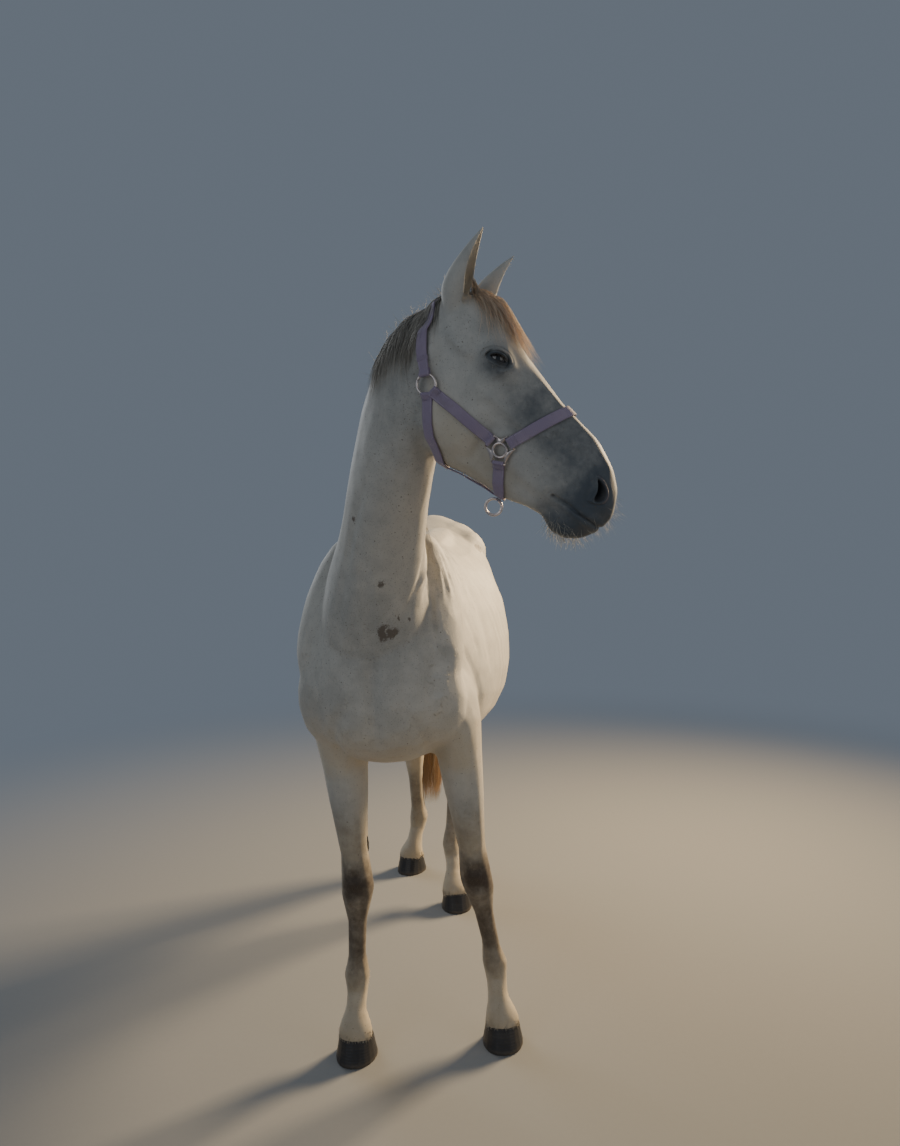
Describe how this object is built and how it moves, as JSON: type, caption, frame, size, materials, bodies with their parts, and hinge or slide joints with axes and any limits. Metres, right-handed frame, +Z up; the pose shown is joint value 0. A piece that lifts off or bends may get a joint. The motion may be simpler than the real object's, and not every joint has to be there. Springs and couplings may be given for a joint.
{
  "type": "horse",
  "caption": "Life-size still model of a standing grey riding horse, its head turned to its left, wearing a webbing headcollar.",
  "frame": {"origin": "on the floor, below the middle of the whole outline's length and width", "axes": "the horse faces -Y, its left side is +X, +Z is up"},
  "size_m": [0.9182, 1.9426, 2.1322],
  "materials": {
    "coat": "short grey coat with dark flecks",
    "hair": "long coarse hair",
    "hoof": "dark horn",
    "eye": "wet gloss",
    "webbing": "woven webbing",
    "metal": "plated, a little dull"
  },
  "bodies": {
    "root": {"head": "coat", "neck": "coat", "trunk": "coat", "ear_left": "coat", "ear_right": "coat", "leg_upper_front_left": "coat", "leg_lower_front_left": "coat", "hoof_front_left": "hoof", "leg_upper_front_right": "coat", "leg_lower_front_right": "coat", "hoof_front_right": "hoof", "leg_upper_hind_left": "coat", "leg_lower_hind_left": "coat", "hoof_hind_left": "hoof", "leg_upper_hind_right": "coat", "leg_lower_hind_right": "coat", "hoof_hind_right": "hoof", "tail": "hair", "eye_left": "eye", "eye_right": "eye", "strap_crown": "webbing", "strap_throat": "webbing", "strap_nose": "webbing", "strap_jaw": "webbing", "strap_link": "webbing", "strap_cheek_left": "webbing", "strap_cheek_right": "webbing", "ring_cheek_left": "metal", "ring_cheek_right": "metal", "ring_chin": "metal", "fitting_left": "metal", "fitting_right": "metal"}
  },
  "joints": []
}
